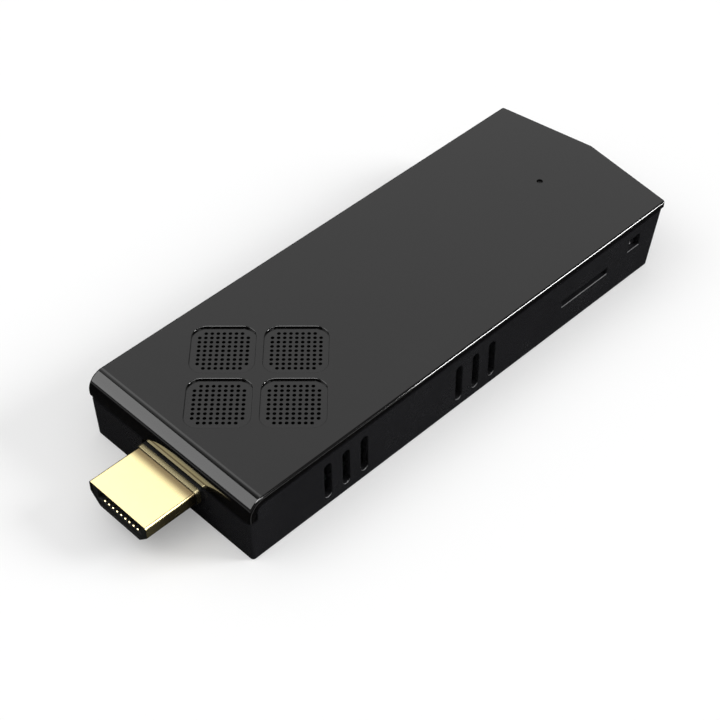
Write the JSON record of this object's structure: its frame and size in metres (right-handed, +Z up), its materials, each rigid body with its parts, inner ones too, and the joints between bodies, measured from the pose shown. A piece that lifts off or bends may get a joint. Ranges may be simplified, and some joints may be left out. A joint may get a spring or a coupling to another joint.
{
  "type": "hdmi stick computer",
  "caption": "Pocket stick computer that plugs straight into a screen: gloss lid with perforated fan pads, vented tub, gold HDMI plug, side sockets, card slot and recessed power button.",
  "frame": {"origin": "middle of the stick's box, plug included, on its underside", "axes": "+Z up through the lid, +Y from the plug along the stick to its pointed tail, +X to the side with the card slot"},
  "size_m": [0.039, 0.1138, 0.0133],
  "materials": {
    "gloss_black": "polished black moulding",
    "satin_black": "fine satin black moulding",
    "black_nylon": "black connector nylon",
    "white_nylon": "natural connector nylon",
    "blue_nylon": "blue socket tongue",
    "clear_plastic": "smoked clear plastic",
    "gold_plate": "polished gold plating",
    "gold_contact": "gold-plated contacts",
    "bronze": "sintered bronze",
    "copper": "enamelled copper windings",
    "bright_steel": "bright nickel-plated steel",
    "dark_steel": "black zinc-plated steel",
    "magnet": "bonded ferrite",
    "ferrite": "moulded ferrite",
    "black_aluminium": "black anodised aluminium",
    "board_black": "black solder mask",
    "board_green": "green laminate",
    "chip_black": "moulded chip resin",
    "silicon": "polished silicon",
    "grey_pad": "soft silicone pad",
    "ceramic_tan": "fired ceramic",
    "amber_film": "polyimide film"
  },
  "bodies": {
    "stick": {"base_shell": "satin_black", "bios_chip": "chip_black", "capacitors": "ceramic_tan", "card_base": "black_nylon", "card_contacts": "gold_contact", "card_cover": "bright_steel", "case_screws": "dark_steel", "clock_cell": "bright_steel", "clock_crystal": "bright_steel", "fan_base": "black_nylon", "fan_bearing": "bronze", "fan_cover": "bright_steel", "fan_flex": "amber_film", "fan_screws": "dark_steel", "fan_socket": "white_nylon", "fan_stator": "copper", "flash_chip": "chip_black", "hdmi_collar": "gold_plate", "hdmi_contacts": "gold_contact", "hdmi_insulator": "black_nylon", "hdmi_shell": "gold_plate", "heat_sink": "black_aluminium", "heat_sink_screws": "dark_steel", "inductors": "ferrite", "inlet_contacts": "gold_contact", "inlet_shell": "bright_steel", "inlet_tongue": "black_nylon", "jack_body": "black_nylon", "jack_contacts": "gold_contact", "light_pipe": "clear_plastic", "main_board": "board_black", "power_chip": "chip_black", "power_switch": "bright_steel", "processor_base": "board_green", "processor_die": "silicon", "ram_chips": "chip_black", "status_light": "white_nylon", "thermal_pad": "grey_pad", "top_cover": "gloss_black", "usb2_contacts": "gold_contact", "usb2_shell": "bright_steel", "usb2_tongue": "black_nylon", "usb3_contacts": "gold_contact", "usb3_shell": "bright_steel", "usb3_tongue": "blue_nylon", "wifi_antenna": "ceramic_tan", "wifi_can": "bright_steel", "wifi_module": "board_black"},
    "fan_wheel": {"fan_rotor": "black_nylon", "fan_magnet": "magnet", "fan_shaft": "bright_steel"},
    "button": {"power_button": "satin_black"},
    "plunger": {"switch_plunger": "white_nylon"},
    "card_carriage": {"card_slider": "black_nylon"}
  },
  "joints": [
    {"name": "fan_spin", "type": "hinge", "parent": "stick", "child": "fan_wheel", "pos_m": [0, -0.0262, 0.008], "axis": [0, 0, 1], "continuous": true},
    {"name": "power_press", "type": "slide", "parent": "stick", "child": "button", "axis": [-1, 0, 0], "range_m": [0, 0.0003], "stiffness_N_per_m": 800},
    {"name": "plunger_press", "type": "slide", "parent": "stick", "child": "plunger", "axis": [-1, 0, 0], "range_m": [0, 0.0003]},
    {"name": "card_push", "type": "slide", "parent": "stick", "child": "card_carriage", "axis": [-1, 0, 0], "range_m": [0, 0.0008], "stiffness_N_per_m": 400}
  ],
  "couplings": [
    {"joint": "plunger_press", "follows": "power_press", "ratio": 1}
  ]
}
